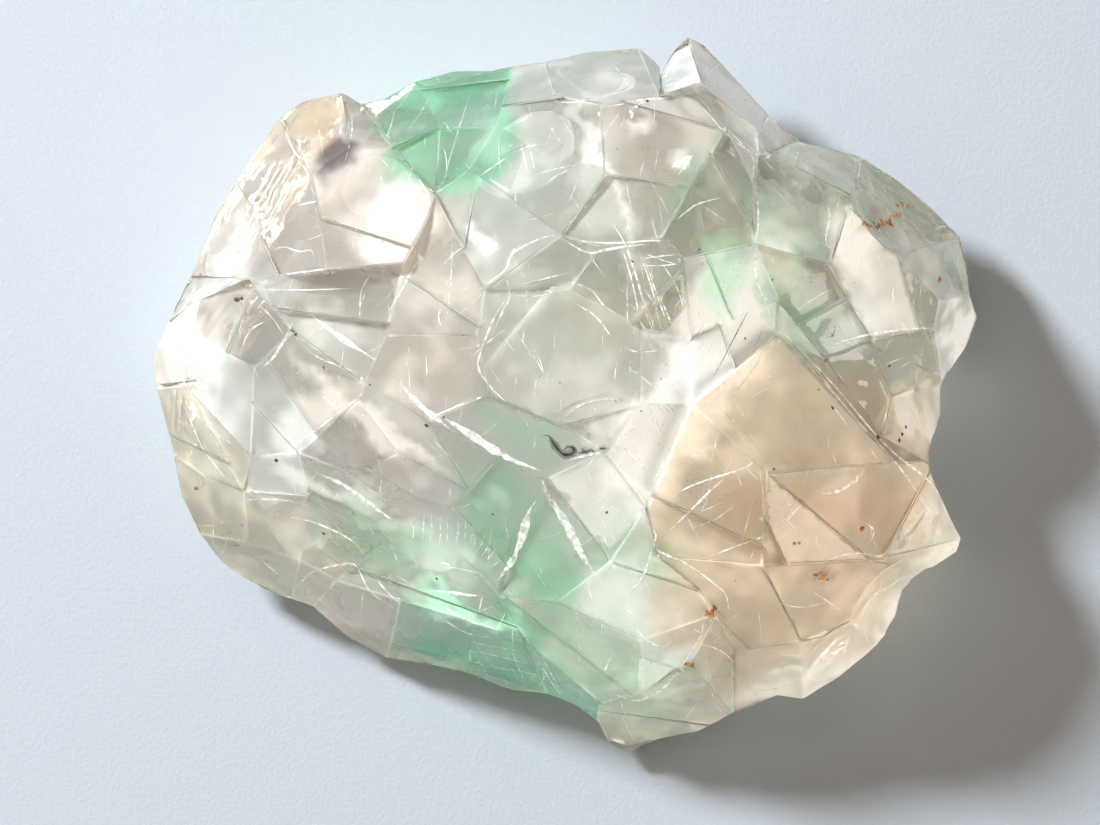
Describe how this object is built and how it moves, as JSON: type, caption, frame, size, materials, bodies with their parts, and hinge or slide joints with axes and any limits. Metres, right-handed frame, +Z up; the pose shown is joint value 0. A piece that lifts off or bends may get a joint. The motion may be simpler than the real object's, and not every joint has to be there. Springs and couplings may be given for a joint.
{
  "type": "fluorite specimen",
  "caption": "Broken, see-through lump of fluorite with flat cleavage faces, steps and small chips, which rests on a flat cleavage face.",
  "frame": {"origin": "middle of the bounding box in plan, at the height of the flat face that the lump rests on", "axes": "+Z up, the way the lump lies, and +X along its longest side"},
  "size_m": [0.0414, 0.036, 0.0178],
  "materials": {
    "fluorite": "glassy cleavage faces, frosted where broken, with pale green, tan and milky zones"
  },
  "bodies": {
    "root": {"fluorite": "fluorite"}
  },
  "joints": []
}
